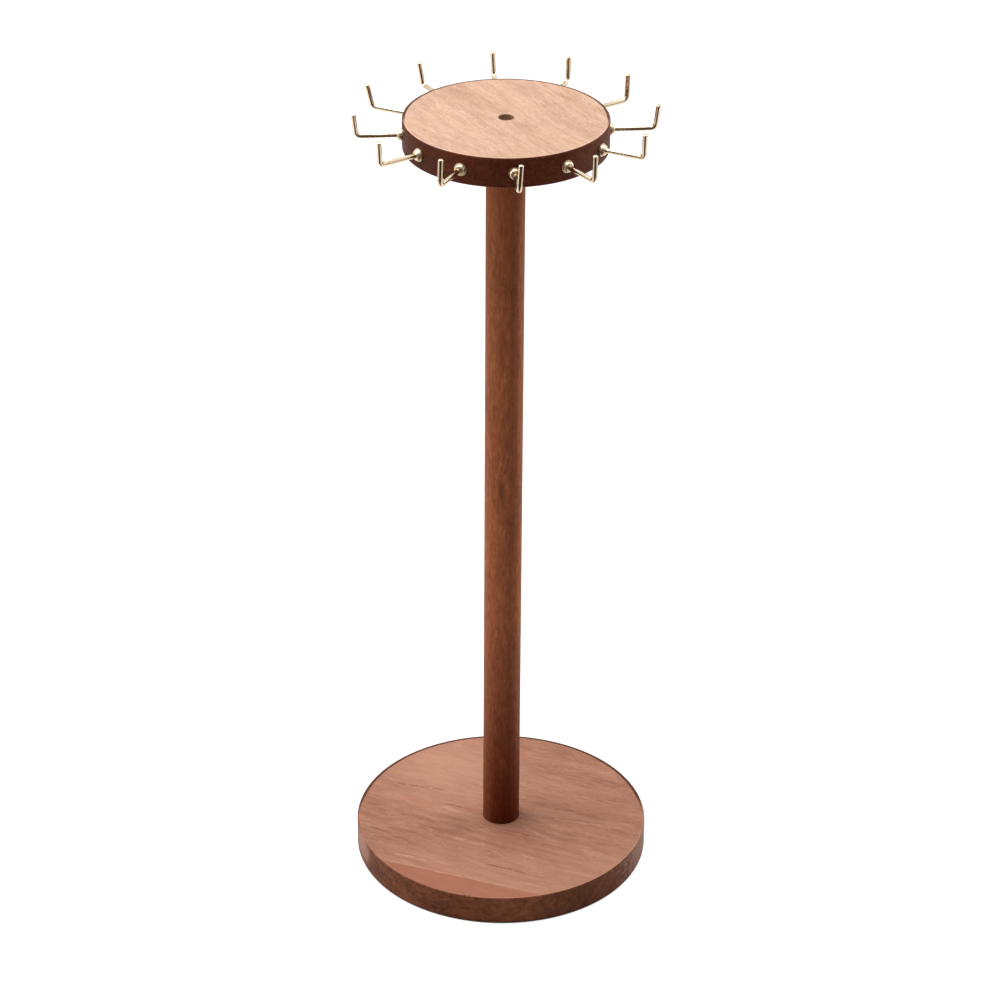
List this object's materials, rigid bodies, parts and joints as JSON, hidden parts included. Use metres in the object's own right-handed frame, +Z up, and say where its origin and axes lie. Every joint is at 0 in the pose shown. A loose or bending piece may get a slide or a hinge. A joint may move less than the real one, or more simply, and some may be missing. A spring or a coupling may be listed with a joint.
{
  "type": "mug tree",
  "caption": "Turning wooden hook stand: round base, straight column and a round head that spins, with square-bent brass hooks round its rim for hanging small things.",
  "frame": {"origin": "on the ground under the middle of the base, on the column's axis", "axes": "+Z up along the column, +X to the right and -Y towards the front; the hooks have no front of their own"},
  "size_m": [0.15, 0.15, 0.4128],
  "materials": {
    "base_wood": "satin, reddish brown stain",
    "column_wood": "satin, dark reddish brown stain",
    "head_wood": "satin, reddish brown stain",
    "hook_brass": "bright plated, pale gold",
    "brass": "turned",
    "steel": "zinc plated",
    "nylon": "natural",
    "felt": "dark felt"
  },
  "bodies": {
    "stand": {"base_disc": "base_wood", "base_washer": "steel", "base_screw": "steel", "foot_pad_1": "felt", "foot_pad_2": "felt", "foot_pad_3": "felt", "foot_pad_4": "felt", "column": "column_wood", "threaded_insert": "brass", "thrust_washer": "nylon", "pivot_sleeve": "brass", "pivot_screw": "steel"},
    "head": {"head_disc": "head_wood", "hook_01": "hook_brass", "hook_02": "hook_brass", "hook_03": "hook_brass", "hook_04": "hook_brass", "hook_05": "hook_brass", "hook_06": "hook_brass", "hook_07": "hook_brass", "hook_08": "hook_brass", "hook_09": "hook_brass", "hook_10": "hook_brass", "hook_11": "hook_brass", "hook_12": "hook_brass", "hook_collar_01": "hook_brass", "hook_collar_02": "hook_brass", "hook_collar_03": "hook_brass", "hook_collar_04": "hook_brass", "hook_collar_05": "hook_brass", "hook_collar_06": "hook_brass", "hook_collar_07": "hook_brass", "hook_collar_08": "hook_brass", "hook_collar_09": "hook_brass", "hook_collar_10": "hook_brass", "hook_collar_11": "hook_brass", "hook_collar_12": "hook_brass"}
  },
  "joints": [
    {"name": "head_spin", "type": "hinge", "parent": "stand", "child": "head", "pos_m": [0, 0, 0.3926], "axis": [0, 0, 1], "continuous": true}
  ]
}
